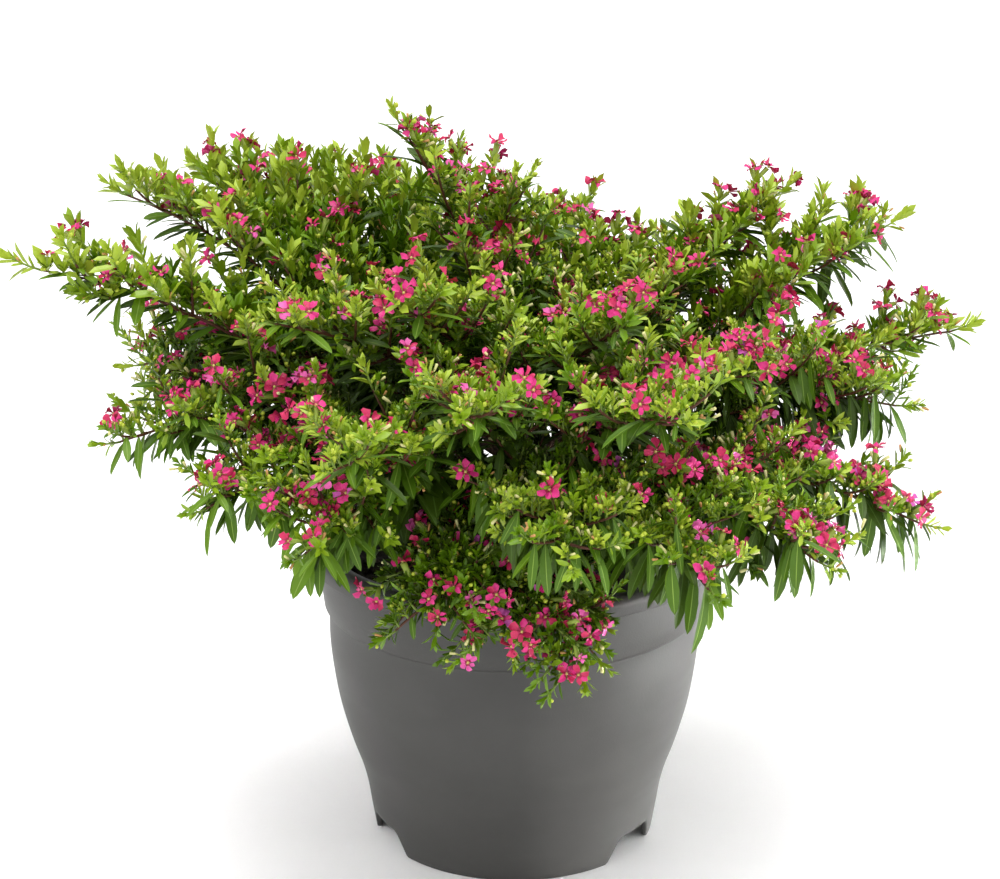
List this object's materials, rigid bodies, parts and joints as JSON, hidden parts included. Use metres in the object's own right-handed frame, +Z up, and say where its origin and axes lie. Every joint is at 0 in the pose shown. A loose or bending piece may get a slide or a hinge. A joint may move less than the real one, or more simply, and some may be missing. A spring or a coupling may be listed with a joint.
{
  "type": "potted flowering plant",
  "caption": "Bushy potted cuphea with small pink flowers on arching leafy boughs, in a round dark grey plastic pot.",
  "frame": {"origin": "on the ground under the centre of the pot", "axes": "+Z up; -Y towards the front, where one foot of the pot faces the viewer; +X to the viewer's right"},
  "size_m": [0.4373, 0.3656, 0.3434],
  "materials": {
    "foliage": "soft satin leaves",
    "bark": "thin brown bark",
    "grey_plastic": "matt moulded plastic",
    "peat_mix": "crumbly damp potting mix"
  },
  "bodies": {
    "root": {"back_bough": "bark", "back_foliage": "foliage", "back_left_bough": "bark", "back_left_foliage": "foliage", "back_low_foliage": "foliage", "back_low_left_foliage": "foliage", "back_low_right_foliage": "foliage", "back_right_bough": "bark", "back_right_foliage": "foliage", "far_left_bough": "bark", "far_left_foliage": "foliage", "far_right_bough": "bark", "far_right_foliage": "foliage", "front_bough": "bark", "front_foliage": "foliage", "front_left_bough": "bark", "front_left_foliage": "foliage", "front_right_bough": "bark", "front_right_foliage": "foliage", "high_left_bough": "bark", "high_left_foliage": "foliage", "inner_front_foliage": "foliage", "inner_front_right_foliage": "foliage", "inner_left_foliage": "foliage", "inner_right_foliage": "foliage", "left_bough": "bark", "left_foliage": "foliage", "left_inner_foliage": "foliage", "low_front_bough": "bark", "low_front_foliage": "foliage", "low_front_left_bough": "bark", "low_front_left_foliage": "foliage", "low_front_right_bough": "bark", "low_front_right_foliage": "foliage", "low_left_bough": "bark", "low_left_foliage": "foliage", "low_right_bough": "bark", "low_right_foliage": "foliage", "main_stem": "bark", "pot": "grey_plastic", "potting_mix": "peat_mix", "ridge_left_bough": "bark", "ridge_left_foliage": "foliage", "right_bough": "bark", "right_foliage": "foliage", "right_foot_bough": "bark", "right_foot_foliage": "foliage", "saddle_foliage": "foliage", "shoulder_right_bough": "bark", "shoulder_right_foliage": "foliage", "top_back_foliage": "foliage", "top_foliage": "foliage", "top_right_foliage": "foliage", "trailing_front_foliage": "foliage", "trailing_left_foliage": "foliage", "trailing_right_foliage": "foliage", "upper_left_bough": "bark", "upper_left_foliage": "foliage", "upper_right_bough": "bark", "upper_right_foliage": "foliage"}
  },
  "joints": []
}
